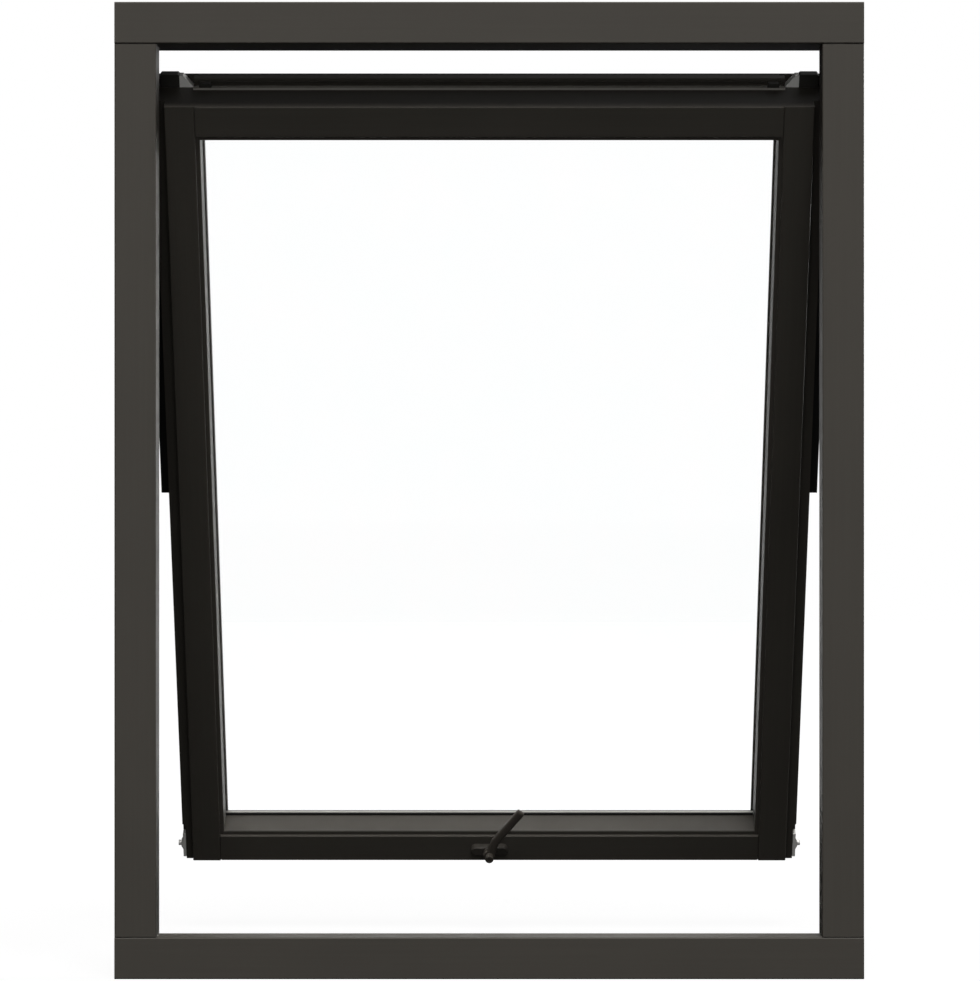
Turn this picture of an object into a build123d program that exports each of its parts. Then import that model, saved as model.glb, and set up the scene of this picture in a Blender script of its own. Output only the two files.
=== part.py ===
from build123d import *
from math import cos, radians
import os

# Top-guided window: a fixed frame and a sash whose top slides down while its bottom swings out.
# Millimetres. X runs to the right as seen from indoors, Y outdoors, Z up.
# The origin is the middle of the sill's underside.

# Driving sizes of the frame
frame_width = 988.0
frame_height = 1288.0
frame_face = 55.0
reveal_depth = 50.0
lip_relief = 2.0
lip_depth = 8.0
outer_margin = 9.0
step_gap = 2.0
sill_fall = 6.0
sill_clearance = 10.0
frame_cover = 3.0
frame_cover_lip = 9.0
frame_cover_wall = 2.0
drip_reach = 10.0
drip_height_share = 0.27
edge_round = 2.0
joint_gap = 1.0
joint_depth = 3.0

# Driving sizes of the sash
face_setback = 40.0
side_gap = 5.6
head_gap = 3.0
sill_gap = 2.5
stile_face = 40.3
top_rail_face = 43.3
bottom_rail_face = 41.3
nose_height = 6.0
nose_setback = 5.0
glass_rebate = 25.0
body_depth = 78.0
seal_room = 6.0
flange_reach = 16.0
top_flange_reach = 12.0
bottom_flange_reach = 11.0
flange_gap = 2.0
flange_depth = 12.0
sash_cover = 7.0
sash_cover_wall = 4.0
bottom_cover_height = 35.0
bottom_cover_fall = 7.0
nose_round = 1.5

# Glazing
glass_edge_gap = 4.5
pane_thickness = 4.0
glass_gap = 16.0
seal_thickness = 4.0
outer_seal_thickness = 3.0
seal_width = 12.0
seal_inset = 0.5
spacer_width = 7.0
sealant_width = 4.0
setting_block_length = 80.0
setting_block_place_share = 0.6

# Sash seals on the flange
sash_seal_thickness = 4.5
sash_seal_margin = 1.0
sash_seal_foot = 5.0

# Hinge gear: bars on the sash, arms on the frame, shoes in the guide rails
rest_angle = 26.25
pivot_rise = 10.0
arm_length = 192.5
arm_width = 18.0
arm_thickness = 4.0
arm_gap = 0.5
bar_thickness = 15.0
bar_margin = 2.0
bar_length = 620.0
bar_corner_round = 3.0
pin_radius = 4.0
pivot_fit = 0.05
open_pivot_clearance = 0.3
rail_side_play = 1.0
rail_depth = 8.0
rail_wall = 2.0
rail_width = 24.0
rail_slot = 12.0
rail_top_gap = 2.0
rail_below_pivot = 40.0
pivot_block_height = 24.0
pivot_boss_radius = 5.5
running_gap = 0.3
shoe_above = 14.0
shoe_below = 46.0
shoe_neck_above = 12.0
shoe_neck_below = 30.0
shoe_collar_radius = 7.0

# Top corners of the sash
bearing_width = 26.0
bearing_edge_gap = 6.0
bearing_in = 8.0
bearing_out = 5.5
bearing_top = 8.0
bearing_chamfer = 2.0
bracket_width = 19.0
bracket_top = 6.0
bracket_ledge = 5.0
strip_width = 13.0
strip_thickness = 3.0
stop_length = 16.0
stop_height = 6.0
stop_round = 2.0
stop_gap = 8.0

# Lock gear
handle_rise = 21.5
handle_angle = 37.2
rose_length = 54.0
rose_height = 14.0
rose_thickness = 12.0
rose_round = 2.0
neck_radius = 8.5
neck_length = 12.0
lever_length = 87.0
lever_offset = 7.0
lever_bend = 26.0
lever_width = 12.0
lever_thickness = 9.0
lever_round = 2.0
button_radius = 6.0
button_length = 9.5
spindle_side = 7.0
spindle_hole_radius = 5.5
spindle_end_gap = 3.0
gearbox_width = 80.0
gearbox_depth = 14.0
gearbox_rise = 7.0
gearbox_clearance = 0.2
groove_wall = 2.0
groove_width = 13.0
groove_depth = 4.5
rod_thickness = 3.0
rod_start = 14.0
rod_travel_gap = 16.0
corner_drive_length = 9.0
cam_length = 38.0
cam_rise = 11.0
cam_plate = 4.2
cam_wedge = 3.0
cam_wedge_length = 20.0
cam_roller_radius = 4.0
cam_reach = 7.0
cam_groove_length = 58.0
keep_width = 21.0
keep_thickness = 2.5
keep_height = 22.5
keep_clearance = 2.5
keep_gap = 1.0
keep_entry_depth = 7.6
keep_pocket_low = 14.0

# Fasteners and fixings
screw_head_radius = 4.0
screw_head_height = 2.0
screw_shank_radius = 1.9
screw_length = 14.0
bar_screw_length = 30.0
screw_clearance = 0.1
rail_screw_shares = (0.04, 0.5, 0.96)
bar_screw_shares = (0.1, 0.45, 0.7, 0.95)
keep_screw_spacing = 12.0
keep_screw_inset = 6.0
fixing_radius = 4.0
fixing_margin = 27.0
fixing_inset = 200.0
overrun = 5.0
pick_reach = 0.01

# Depths that the frame, the sash and the hinge gear share
step_depth = reveal_depth + lip_depth
pivot_depth = body_depth + flange_depth / 2
side_flange_depth = step_depth + seal_room - face_setback
bar_width = rail_width - 2 * bar_margin
wall_depth = face_setback + pivot_depth - rail_width / 2 - step_gap
head_step_depth = face_setback + body_depth - strip_width - step_gap
frame_depth = face_setback + pivot_depth + rail_width / 2 + outer_margin
fixing_depth = step_depth + fixing_margin
nose_depth = body_depth - nose_setback - seal_thickness - 2 * pane_thickness - glass_gap

# Places that follow from the sizes, frame first
half_frame = frame_width / 2
inside_y = -frame_depth / 2
outside_y = frame_depth / 2
wood_back_y = outside_y - frame_cover
reveal_y = inside_y + reveal_depth
step_y = inside_y + step_depth
wall_y = inside_y + wall_depth
head_step_y = inside_y + head_step_depth
reveal_top = frame_height - frame_face
reveal_half = half_frame - frame_face
lip_half = reveal_half + lip_relief

# Sash places across the window, and in depth from the pivot line
sash_half = reveal_half - side_gap
stile_inner = sash_half - stile_face
nose_half = stile_inner - nose_height
rebate_half = sash_half - glass_rebate
flange_half = sash_half + flange_reach
frame_rebate_half = flange_half + flange_gap
glass_half = rebate_half - glass_edge_gap
face_d = -pivot_depth
nose_front_d = face_d + nose_setback
nose_back_d = nose_front_d + nose_depth
side_flange_d = face_d + side_flange_depth
body_back_d = face_d + body_depth
flange_back_d = body_back_d + flange_depth
sash_back_d = flange_back_d + sash_cover
glass_in_d = nose_back_d + seal_thickness
glass_out_d = glass_in_d + 2 * pane_thickness + glass_gap

# Sash places in height, from the pivot line
sash_height = frame_height - 2 * frame_face - head_gap - sill_gap
sash_top = -pivot_rise
sash_bottom = sash_top - sash_height
flange_top = sash_top + top_flange_reach
flange_bottom = sash_bottom - bottom_flange_reach

# Hinge gear places, side by side outward from the flange
bar_out = flange_half + bar_thickness
arm_in = bar_out + arm_gap
arm_out = arm_in + arm_thickness
rail_face = arm_out + rail_side_play
wall_half = rail_face + rail_depth
rear_wall = half_frame - wall_half
sill_back = frame_face + sill_gap - bottom_flange_reach - sill_clearance - sill_fall
drip_height = drip_height_share * sill_back
pivot_y = inside_y + face_setback + pivot_depth
pivot_closed_z = reveal_top - head_gap + pivot_rise
arm_pivot_z = pivot_closed_z - 2 * arm_length
pivot_rest_z = arm_pivot_z + 2 * arm_length * cos(radians(rest_angle))
rail_bottom_z = arm_pivot_z - rail_below_pivot
rail_top_z = frame_height - rear_wall - rail_top_gap
channel_half = rail_width / 2 - rail_wall
bearing_end = flange_half - bearing_edge_gap
bearing_start = bearing_end - bearing_width
bracket_start = bearing_start - bracket_width
stop_place = bracket_start - stop_gap - stop_length / 2

# Lock gear places
handle_z = sash_bottom + handle_rise
groove_front_d = side_flange_d + groove_wall
groove_back_d = groove_front_d + groove_width
groove_mid_d = (groove_back_d + groove_front_d) / 2
groove_end = flange_half - groove_depth - sash_seal_margin
rod_end = groove_end - corner_drive_length - rod_travel_gap
gearbox_height = handle_rise + bottom_flange_reach + gearbox_rise - groove_depth
fixing_spacing = frame_height - 2 * fixing_inset
cam_z = sash_bottom + cam_rise
cam_closed_z = pivot_closed_z + cam_z
keep_front_y = pivot_y + groove_mid_d + cam_roller_radius + keep_gap
keep_back_y = keep_front_y + keep_thickness

sash_place = Pos(0, pivot_y, pivot_rest_z) * Rot(rest_angle, 0, 0)


# Shape helpers
def block(x, y, z):
    """A box between the low and high ends given for each axis."""
    middle = Pos((x[0] + x[1]) / 2, (y[0] + y[1]) / 2, (z[0] + z[1]) / 2)
    return middle * Box(x[1] - x[0], y[1] - y[0], z[1] - z[0])


def outline(points, rounded, radius):
    """A flat face through the points, with the named corners rounded."""
    face = make_face(Polyline(*points, close=True))
    corners = []
    for corner in face.vertices():
        if any((corner.center() - Vector(*place)).length < pick_reach for place in rounded):
            corners.append(corner)
    return fillet(corners, radius) if corners else face


def along_z(points, z, rounded=(), radius=edge_round):
    """An outline of x and y, carried up from z[0] to z[1]."""
    face = outline([(x, y, z[0]) for x, y in points], [(x, y, z[0]) for x, y in rounded], radius)
    return extrude(face, amount=z[1] - z[0], dir=(0, 0, 1))


def along_x(points, x, rounded=(), radius=edge_round):
    """An outline of y and z, carried across from x[0] to x[1]."""
    face = outline([(x[0], y, z) for y, z in points], [(x[0], y, z) for y, z in rounded], radius)
    return extrude(face, amount=x[1] - x[0], dir=(1, 0, 0))


def along_y(points, y, rounded=(), radius=edge_round):
    """An outline of x and z, carried outward from y[0] to y[1]."""
    face = outline([(x, y[0], z) for x, z in points], [(x, y[0], z) for x, z in rounded], radius)
    return extrude(face, amount=y[1] - y[0], dir=(0, 1, 0))


def bar_x(radius, x, y, z):
    """A round bar across the window from x[0] to x[1]."""
    return Pos((x[0] + x[1]) / 2, y, z) * Rot(0, 90, 0) * Cylinder(radius, x[1] - x[0])


def bar_y(radius, y, x, z):
    """A round bar through the window from y[0] to y[1]."""
    return Pos(x, (y[0] + y[1]) / 2, z) * Rot(90, 0, 0) * Cylinder(radius, y[1] - y[0])


def other_side(piece):
    """The same piece on the left of the window."""
    return mirror(piece, about=Plane.YZ)


def ring(y, x_out, z_out, x_in, z_in):
    """A rectangular ring, symmetric across the window."""
    inner = block((-x_in, x_in), (y[0] - overrun, y[1] + overrun), z_in)
    return block((-x_out, x_out), y, z_out) - inner


def screw(clearance=0.0, length=screw_length):
    """A countersunk screw along +X from its flush head, or the hole for it."""
    head = Rot(0, 90, 0) * Cone(
        screw_head_radius + clearance,
        screw_shank_radius + clearance,
        screw_head_height,
        align=(Align.CENTER, Align.CENTER, Align.MIN),
    )
    shank = bar_x(screw_shank_radius + clearance, (0, length + clearance), 0, 0)
    return head + shank


# Frame: head and sill run the full width, the jambs stand between them
def head_outline():
    return [
        (inside_y, reveal_top),
        (inside_y, frame_height),
        (wood_back_y, frame_height),
        (wood_back_y, frame_height - rear_wall),
        (head_step_y, frame_height - rear_wall),
        (head_step_y, reveal_top + lip_relief),
        (reveal_y, reveal_top + lip_relief),
        (reveal_y, reveal_top),
    ]


def sill_outline():
    return [
        (inside_y, frame_face),
        (inside_y, 0),
        (wood_back_y, 0),
        (wood_back_y, sill_back),
        (step_y, sill_back + sill_fall),
        (step_y, frame_face - lip_relief),
        (reveal_y, frame_face - lip_relief),
        (reveal_y, frame_face),
    ]


def jamb_outline():
    return [
        (reveal_half, inside_y),
        (half_frame, inside_y),
        (half_frame, wood_back_y),
        (wall_half, wood_back_y),
        (wall_half, wall_y),
        (frame_rebate_half, wall_y),
        (frame_rebate_half, step_y),
        (lip_half, step_y),
        (lip_half, reveal_y),
        (reveal_half, reveal_y),
    ]


full_width = (-half_frame, half_frame)
full_height = (0, frame_height)
head_points = head_outline()
sill_points = sill_outline()
jamb_points = jamb_outline()
frame_head = along_x(head_points, full_width, head_points[:2])
frame_sill = along_x(sill_points, full_width, sill_points[:2])
head_sharp = along_x(head_points, full_width)
sill_sharp = along_x(sill_points, full_width)


def rail_screw_places():
    length = rail_top_z - rail_bottom_z
    return [rail_bottom_z + share * length for share in rail_screw_shares]


def keep_span():
    low = cam_closed_z + cam_roller_radius + keep_clearance
    return (low, low + keep_height)


def keep_screw_places():
    low, high = keep_span()
    middle = (low + high) / 2
    x = frame_rebate_half + keep_width - keep_screw_inset
    return [(x, middle - keep_screw_spacing / 2), (x, middle + keep_screw_spacing / 2)]


def keep_plate():
    span = (frame_rebate_half, frame_rebate_half + keep_width)
    return block(span, (keep_front_y, keep_back_y), keep_span())


def keep_screw(place, clearance=0.0):
    return Pos(place[0], keep_front_y, place[1]) * Rot(0, 0, 90) * screw(clearance)


def frame_jamb():
    jamb = along_z(jamb_points, full_height, jamb_points[:2]) - head_sharp - sill_sharp
    for joint_z in ((reveal_top - joint_gap, reveal_top), (frame_face, frame_face + joint_gap)):
        jamb -= block((0, half_frame + overrun), (inside_y - overrun, inside_y + joint_depth), joint_z)
    keep_low, keep_high = keep_span()
    start_x = frame_rebate_half - overrun
    start_y = pivot_y + side_flange_d - flange_gap
    pocket_low = cam_closed_z - keep_pocket_low
    pocket_x = (start_x, frame_rebate_half + keep_width)
    jamb -= block(pocket_x, (start_y, keep_back_y), (pocket_low, keep_high))
    entry_x = (start_x, frame_rebate_half + keep_entry_depth)
    jamb -= block(entry_x, (start_y, wall_y + overrun), (pocket_low, keep_low))
    for place in keep_screw_places():
        jamb -= keep_screw(place, screw_clearance)
    for z in rail_screw_places():
        jamb -= Pos(wall_half - rail_wall, pivot_y, z) * screw(screw_clearance)
    for z in (frame_height - fixing_spacing, frame_height + fixing_spacing):
        span = (frame_rebate_half - overrun, half_frame + overrun)
        jamb -= bar_x(fixing_radius, span, inside_y + fixing_depth, z / 2)
    return jamb


# Exterior metal covers of the frame
def cover_outline(outer, wall, inward):
    """Plate and lip of a frame cover; inward is the sense from the outer edge to the opening."""
    lip = wall + inward * frame_cover_wall
    return [
        (outer, wood_back_y),
        (outer, outside_y),
        (lip, outside_y),
        (lip, outside_y - frame_cover_lip),
        (wall, outside_y - frame_cover_lip),
        (wall, wood_back_y),
    ]


def swapped(points):
    return [(b, a) for a, b in points]


sill_cover_start_y = wood_back_y - frame_cover_lip
sill_cover_start_z = sill_back + sill_fall * frame_cover_lip / (wood_back_y - step_y)


def sill_cover_outline():
    nose_y = outside_y + drip_reach
    return [
        (wood_back_y, 0),
        (outside_y, 0),
        (outside_y, sill_back - drip_height),
        (nose_y - frame_cover_wall, sill_back - drip_height),
        (nose_y - frame_cover_wall, sill_back - 2 * drip_height),
        (nose_y, sill_back - 2 * drip_height),
        (nose_y, sill_back - frame_cover_wall),
        (outside_y, sill_back + frame_cover_wall),
        (sill_cover_start_y, sill_cover_start_z + frame_cover_wall),
        (sill_cover_start_y, sill_cover_start_z),
        (wood_back_y, sill_back),
    ]


head_cover_points = swapped(cover_outline(frame_height, frame_height - rear_wall, -1))
jamb_cover_points = cover_outline(half_frame, wall_half, -1)
jamb_right = frame_jamb()
jamb_left = other_side(jamb_right)
head_cladding = along_x(head_cover_points, full_width) - jamb_right - jamb_left
sill_cladding = along_x(sill_cover_outline(), full_width) - jamb_right - jamb_left


def jamb_cladding():
    below = [
        (sill_cover_start_y, 0),
        (outside_y, 0),
        (outside_y, sill_back + frame_cover_wall),
        (sill_cover_start_y, sill_cover_start_z + frame_cover_wall),
    ]
    cover = along_z(jamb_cover_points, (0, frame_height - rear_wall))
    return cover - along_x(below, full_width) - head_cladding


# Guide rail, arm pivot and shoe on the right jamb
def guide_rail():
    half = rail_width / 2
    slot = rail_slot / 2
    lip_x = rail_face + rail_wall
    back_x = wall_half - rail_wall
    upper = [
        (wall_half, -half),
        (rail_face, -half),
        (rail_face, -slot),
        (lip_x, -slot),
        (lip_x, -channel_half),
        (back_x, -channel_half),
    ]
    points = upper + [(x, -y) for x, y in reversed(upper)]
    rail = along_z([(x, pivot_y + y) for x, y in points], (rail_bottom_z, rail_top_z))
    for z in rail_screw_places():
        rail -= Pos(back_x, pivot_y, z) * screw(screw_clearance)
    return rail


def rail_screws():
    places = rail_screw_places()
    right = [Pos(wall_half - rail_wall, pivot_y, z) * screw() for z in places]
    return right + [other_side(piece) for piece in right]


def arm_pivot():
    channel_x = (rail_face + rail_wall, wall_half - rail_wall)
    channel_y = (pivot_y - channel_half, pivot_y + channel_half)
    half = pivot_block_height / 2
    body = block(channel_x, channel_y, (arm_pivot_z - half, arm_pivot_z + half))
    boss = bar_x(pivot_boss_radius, (arm_out + running_gap, channel_x[1]), pivot_y, arm_pivot_z)
    pin = bar_x(pin_radius, (arm_in, channel_x[1]), pivot_y, arm_pivot_z)
    return body + boss + pin


def guide_shoe():
    """Slider, neck and pin, about the pivot line."""
    slide_x = (rail_face + rail_wall + running_gap, wall_half - rail_wall - running_gap)
    slide_half = channel_half - running_gap
    slider = block(slide_x, (-slide_half, slide_half), (-shoe_below, shoe_above))
    neck_half = rail_slot / 2 - running_gap
    neck_x = (arm_out + running_gap, slide_x[1])
    neck = block(neck_x, (-neck_half, neck_half), (-shoe_neck_below, shoe_neck_above))
    collar = bar_x(shoe_collar_radius, (bar_out + running_gap, neck_x[0]), 0, 0)
    pin = bar_x(pin_radius, (bearing_start + running_gap, slide_x[1]), 0, 0)
    return slider + neck + collar + pin


def hinge_arm(sash_end_fit):
    """A flat arm from its frame pivot, upright, with an eye at each end."""
    half = arm_width / 2
    span = (arm_in, arm_out)
    arm = block(span, (-half, half), (0, arm_length))
    arm += bar_x(half, span, 0, 0)
    arm += bar_x(half, span, 0, arm_length)
    hole_x = (arm_in - overrun, arm_out + overrun)
    arm -= bar_x(pin_radius + pivot_fit, hole_x, 0, 0)
    arm -= bar_x(pin_radius + sash_end_fit, hole_x, 0, arm_length)
    return arm


# Sash members, with the pivot line as their origin and the sash upright
def stile_outline():
    return [
        (stile_inner, face_d),
        (sash_half, face_d),
        (sash_half, side_flange_d),
        (flange_half, side_flange_d),
        (flange_half, flange_back_d),
        (rebate_half, flange_back_d),
        (rebate_half, nose_back_d),
        (nose_half, nose_back_d),
        (nose_half, nose_front_d),
        (stile_inner, nose_front_d),
    ]


def rail_outline(edge, inward, face_width, flange_front_d, reach):
    """Section of a sash rail; inward is the sense from its outer edge to the glass."""
    face_z = edge + inward * face_width
    nose_z = face_z + inward * nose_height
    rebate_z = edge + inward * glass_rebate
    flange_z = edge - inward * reach
    return [
        (face_d, face_z),
        (face_d, edge),
        (flange_front_d, edge),
        (flange_front_d, flange_z),
        (flange_back_d, flange_z),
        (flange_back_d, rebate_z),
        (nose_back_d, rebate_z),
        (nose_back_d, nose_z),
        (nose_front_d, nose_z),
        (nose_front_d, face_z),
    ]


stile_points = stile_outline()
top_points = rail_outline(sash_top, -1, top_rail_face, body_back_d, top_flange_reach)
bottom_points = rail_outline(sash_bottom, 1, bottom_rail_face, side_flange_d, bottom_flange_reach)
top_nose = sash_top - top_rail_face - nose_height
bottom_nose = sash_bottom + bottom_rail_face + nose_height
stile_height = (flange_bottom, flange_top)
corner_x = (bracket_start, flange_half + overrun)
corner_z = (sash_top, flange_top + overrun)
corner_notch = block(corner_x, (body_back_d - overrun, flange_back_d), corner_z)


def softened(points):
    return [points[0], points[1], points[7], points[8]]


def bar_screw_places():
    return [-share * bar_length for share in bar_screw_shares]


def bar_screw(z, clearance=0.0):
    return Pos(bar_out, 0, z) * Rot(0, 0, 180) * screw(clearance, bar_screw_length)


def groove_d():
    return (groove_front_d, groove_back_d)


def under_groove():
    height = (flange_bottom - overrun, flange_bottom + groove_depth)
    return block((-groove_end, groove_end), groove_d(), height)


def sash_stile():
    stile = along_z(stile_points, stile_height, softened(stile_points), nose_round)
    over_top = (sash_top, flange_top + overrun)
    stile -= block((0, flange_half + overrun), (face_d - overrun, body_back_d), over_top)
    below = (flange_bottom - overrun, sash_bottom)
    stile -= block((0, sash_half), (face_d - overrun, side_flange_d), below)
    stile -= corner_notch
    stile -= under_groove()
    side_groove_x = (flange_half - groove_depth, flange_half + overrun)
    side_groove_z = (flange_bottom - overrun, flange_bottom + cam_groove_length)
    stile -= block(side_groove_x, (side_flange_d - overrun, groove_back_d), side_groove_z)
    for z in bar_screw_places():
        stile -= bar_screw(z, screw_clearance)
    return stile


stile_sharp = along_z(stile_points, stile_height)
rail_width_x = (-rebate_half, rebate_half)
sash_top_rail = along_x(top_points, rail_width_x, softened(top_points), nose_round)
sash_top_rail -= stile_sharp
sash_top_rail -= other_side(stile_sharp)
sash_top_rail -= corner_notch
sash_top_rail -= other_side(corner_notch)


def rail_joints():
    """Fine shadow gaps between the rails and the stiles, on the indoor face."""
    joint_d = (face_d - overrun, face_d + joint_depth)
    right = block((stile_inner - joint_gap, stile_inner), joint_d, stile_height)
    return right + other_side(right)


sash_top_rail -= rail_joints()


def gearbox_space(clearance):
    half = gearbox_width / 2 + clearance
    middle = groove_mid_d
    depth = gearbox_depth / 2 + clearance
    low = flange_bottom + groove_depth
    return block((-half, half), (middle - depth, middle + depth), (low, low + gearbox_height + clearance))


sash_bottom_rail = along_x(bottom_points, rail_width_x, softened(bottom_points), nose_round)
sash_bottom_rail -= stile_sharp
sash_bottom_rail -= other_side(stile_sharp)
sash_bottom_rail -= rail_joints()
sash_bottom_rail -= under_groove()
sash_bottom_rail -= gearbox_space(gearbox_clearance)
sash_bottom_rail -= bar_y(spindle_hole_radius, (face_d - overrun, groove_mid_d), 0, handle_z)


# Outdoor metal covers that hold the glass
def sash_cover_outline(nose, rebate, edge, inward, fall=0.0):
    """Cover section as pairs of place and depth; inward is the sense towards the glass."""
    leg = nose - inward * sash_cover_wall
    leg_d = glass_out_d + outer_seal_thickness
    step_d = sash_back_d - sash_cover_wall
    step_fall = fall * (step_d - leg_d) / (sash_back_d - leg_d)
    return [
        (nose, leg_d),
        (leg, leg_d),
        (leg - inward * step_fall, step_d),
        (rebate, step_d),
        (rebate, flange_back_d),
        (edge, flange_back_d),
        (edge, sash_back_d),
        (nose - inward * fall, sash_back_d),
    ]


side_cover_points = sash_cover_outline(nose_half, rebate_half, flange_half, -1)
top_cover_points = swapped(sash_cover_outline(top_nose, sash_top - glass_rebate, flange_top, -1))
bottom_cover_nose = sash_bottom + bottom_cover_height
bottom_cover_points = swapped(
    sash_cover_outline(bottom_cover_nose, sash_bottom + glass_rebate, flange_bottom, 1, bottom_cover_fall)
)
cover_width = (-nose_half, nose_half)
sash_cladding_side = along_z(side_cover_points, stile_height) - sash_top_rail - sash_bottom_rail
sash_cladding_top = along_x(top_cover_points, cover_width)
sash_cladding_bottom = along_x(bottom_cover_points, cover_width)

# Sealed glass unit
glass_top = sash_top - glass_rebate - glass_edge_gap
glass_bottom = sash_bottom + glass_rebate + glass_edge_gap


def pane(front_d):
    return block((-glass_half, glass_half), (front_d, front_d + pane_thickness), (glass_bottom, glass_top))


def inset_ring(depth, outer_inset, width):
    outer_half = glass_half - outer_inset
    outer_z = (glass_bottom + outer_inset, glass_top - outer_inset)
    inner_z = (outer_z[0] + width, outer_z[1] - width)
    return ring(depth, outer_half, outer_z, outer_half - width, inner_z)


spacer_d = (glass_in_d + pane_thickness, glass_in_d + pane_thickness + glass_gap)
glass_spacer = inset_ring(spacer_d, sealant_width, spacer_width)
glazing_seal_inner = inset_ring((nose_back_d, glass_in_d), seal_inset, seal_width)
glazing_seal_outer = inset_ring((glass_out_d, glass_out_d + outer_seal_thickness), seal_inset, seal_width)


def setting_blocks():
    middle = setting_block_place_share * glass_half
    half = setting_block_length / 2
    low = sash_bottom + glass_rebate
    right = block((middle - half, middle + half), (glass_in_d, glass_out_d), (low, glass_bottom))
    return [right, other_side(right)]


# Seals: one on the sash's top flange, one round the sides and bottom of the frame's lip
top_seal_z = (sash_top + sash_seal_foot, flange_top - sash_seal_margin)
top_seal_d = (body_back_d - sash_seal_thickness, body_back_d)
top_seal = block((-bracket_start, bracket_start), top_seal_d, top_seal_z)


def side_seal():
    depth = (step_y, step_y + sash_seal_thickness)
    outer = flange_half - sash_seal_margin
    inner = lip_half + sash_seal_margin
    sill_z = frame_face - lip_relief - sash_seal_margin
    low = sill_z - outer + inner
    return ring(depth, outer, (low, reveal_top), inner, (sill_z, reveal_top + overrun))


# Hinge bar with its pivot eye at the top and the arm's pin below it
def hinge_bar():
    half = bar_width / 2
    span = (flange_half, bar_out)
    points = [(-half, -bar_length), (half, -bar_length), (half, 0), (-half, 0)]
    bar = along_x(points, span, points[:2], bar_corner_round)
    bar += bar_x(half, span, 0, 0)
    bar += bar_x(pin_radius, (flange_half, arm_out), 0, -arm_length)
    bar -= bar_x(pin_radius + pivot_fit, (flange_half - overrun, bar_out + overrun), 0, 0)
    for z in bar_screw_places():
        bar -= bar_screw(z, screw_clearance)
    return bar


def hinge_bar_screws():
    right = [bar_screw(z) for z in bar_screw_places()]
    return right + [other_side(piece) for piece in right]


# Top corner pieces: strip, stops, bracket and the bearing of the shoe's pin
def top_strip():
    half = bracket_start
    depth = (body_back_d - strip_width, body_back_d - sash_seal_thickness)
    return block((-half, half), depth, (sash_top, sash_top + strip_thickness))


def strip_stops():
    low = sash_top + strip_thickness
    half = stop_length / 2
    points = [
        (stop_place - half, low),
        (stop_place + half, low),
        (stop_place + half, low + stop_height),
        (stop_place - half, low + stop_height),
    ]
    depth = (body_back_d - strip_width, body_back_d - sash_seal_thickness)
    right = along_y(points, depth, points[2:], stop_round)
    return [right, other_side(right)]


def corner_bracket():
    slope_start = bearing_start - bracket_ledge
    points = [
        (bearing_start, sash_top),
        (bracket_start, sash_top),
        (slope_start, bracket_top),
        (bearing_start, bracket_top),
    ]
    return along_y(points, (-bearing_in, bearing_out))


def bearing_block():
    body = block((bearing_start, bearing_end), (-bearing_in, bearing_out), (sash_top, bearing_top))
    body = chamfer(body.edges().filter_by(Axis.Y).group_by(Axis.Z)[-1], bearing_chamfer)
    hole_x = (bearing_start - overrun, bearing_end + overrun)
    return body - bar_x(pin_radius + pivot_fit, hole_x, 0, 0)


# Lock gear: handle, spindle, gearbox, rods and cams
def drive_gearbox():
    body = gearbox_space(0)
    back = groove_mid_d + gearbox_depth / 2 - spindle_end_gap
    return body - bar_y(spindle_hole_radius, (face_d, back), 0, handle_z)


def handle_rose():
    straight = (rose_length - rose_height) / 2
    half = rose_height / 2
    depth = (face_d - rose_thickness, face_d)
    rose = block((-straight, straight), depth, (handle_z - half, handle_z + half))
    rose += bar_y(half, depth, -straight, handle_z)
    rose += bar_y(half, depth, straight, handle_z)
    rose = fillet(rose.faces().sort_by(Axis.Y)[0].edges(), rose_round)
    return rose - bar_y(spindle_hole_radius, (depth[0] - overrun, depth[1] + overrun), 0, handle_z)


neck_back_d = face_d - rose_thickness - running_gap
neck_front_d = neck_back_d - neck_length
turned = Pos(0, 0, handle_z) * Rot(0, handle_angle, 0)


def handle_lever():
    """Neck, cranked lever and front button, upright about the spindle, then turned to rest."""
    lever_d = (neck_front_d, neck_front_d + lever_thickness)
    right = lever_width / 2 - lever_offset
    left = right - lever_width
    points = [
        (-neck_radius, 0),
        (neck_radius, 0),
        (right, lever_bend),
        (right, lever_length),
        (left, lever_length),
        (left, lever_bend),
    ]
    lever = along_y(points, lever_d)
    lever += bar_y(neck_radius, lever_d, 0, 0)
    lever = fillet(lever.faces().sort_by(Axis.Y)[0].edges(), lever_round)
    lever += bar_y(neck_radius, (lever_d[1], neck_back_d), 0, 0)
    lever += bar_y(button_radius, (lever_d[0] - button_length, lever_d[1]), 0, 0)
    return turned * lever


def handle_spindle():
    half = spindle_side / 2
    end = groove_mid_d + gearbox_depth / 2 - spindle_end_gap - running_gap
    return turned * block((-half, half), (neck_back_d, end), (-half, half))


def drive_rod():
    low = flange_bottom + groove_depth - running_gap - rod_thickness
    depth = (groove_front_d + running_gap, groove_back_d - running_gap)
    return block((rod_start, rod_end), depth, (low, low + rod_thickness))


def corner_drives():
    span = (groove_end - corner_drive_length, groove_end)
    right = block(span, groove_d(), (flange_bottom, flange_bottom + groove_depth))
    return [right, other_side(right)]


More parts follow.
